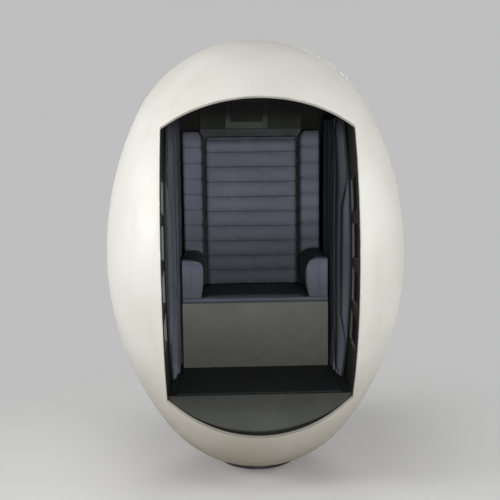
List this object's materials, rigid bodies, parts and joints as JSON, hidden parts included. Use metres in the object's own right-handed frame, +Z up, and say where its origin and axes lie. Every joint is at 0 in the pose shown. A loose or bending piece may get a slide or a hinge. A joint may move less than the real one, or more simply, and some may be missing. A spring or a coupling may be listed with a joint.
{
  "type": "egg-shaped one-seat capsule",
  "caption": "Egg-shaped standing capsule: hollow moulded shell with a tall arched front opening, stepped floor, channelled seat with armrests and pleated side walls.",
  "frame": {"origin": "middle of the base plate's underside, on the floor", "axes": "+Z up along the egg's axis, -Y out of the front opening, +X to the right seen from the front"},
  "size_m": [1.388, 1.2566, 1.984],
  "materials": {
    "base_steel": "matt black paint",
    "shell_cream": "satin cream paint on glass fibre",
    "board_grey": "grey painted board",
    "board_ply": "bare plywood",
    "board_dark": "dark grey painted board",
    "mat_black": "matt rubber",
    "vinyl_blue": "slate blue vinyl-coated fabric over foam, soft sheen",
    "vinyl_navy": "navy vinyl-coated fabric over foam, soft sheen",
    "panel_dark": "dark grey painted board"
  },
  "bodies": {
    "root": {"base_plate": "base_steel", "shell_front": "shell_cream", "shell_rear": "shell_cream", "deck": "board_grey", "floor_mat": "mat_black", "lower_riser": "board_grey", "seat_front_panel": "board_grey", "seat_board": "board_ply", "seat_pad": "vinyl_blue", "arm_left": "vinyl_blue", "arm_right": "vinyl_blue", "bulkhead": "board_dark", "backrest": "vinyl_blue", "bolster_left": "vinyl_blue", "bolster_right": "vinyl_blue", "overhead_panel": "board_dark", "hatch_frame": "board_dark", "hatch_panel": "board_dark", "lining_left": "vinyl_navy", "lining_right": "vinyl_navy", "panel_back_left": "board_dark", "panel_back_right": "board_dark", "panel_left_upper": "panel_dark", "panel_left_lower": "panel_dark", "panel_right_upper": "panel_dark", "panel_right_lower": "panel_dark"}
  },
  "joints": []
}
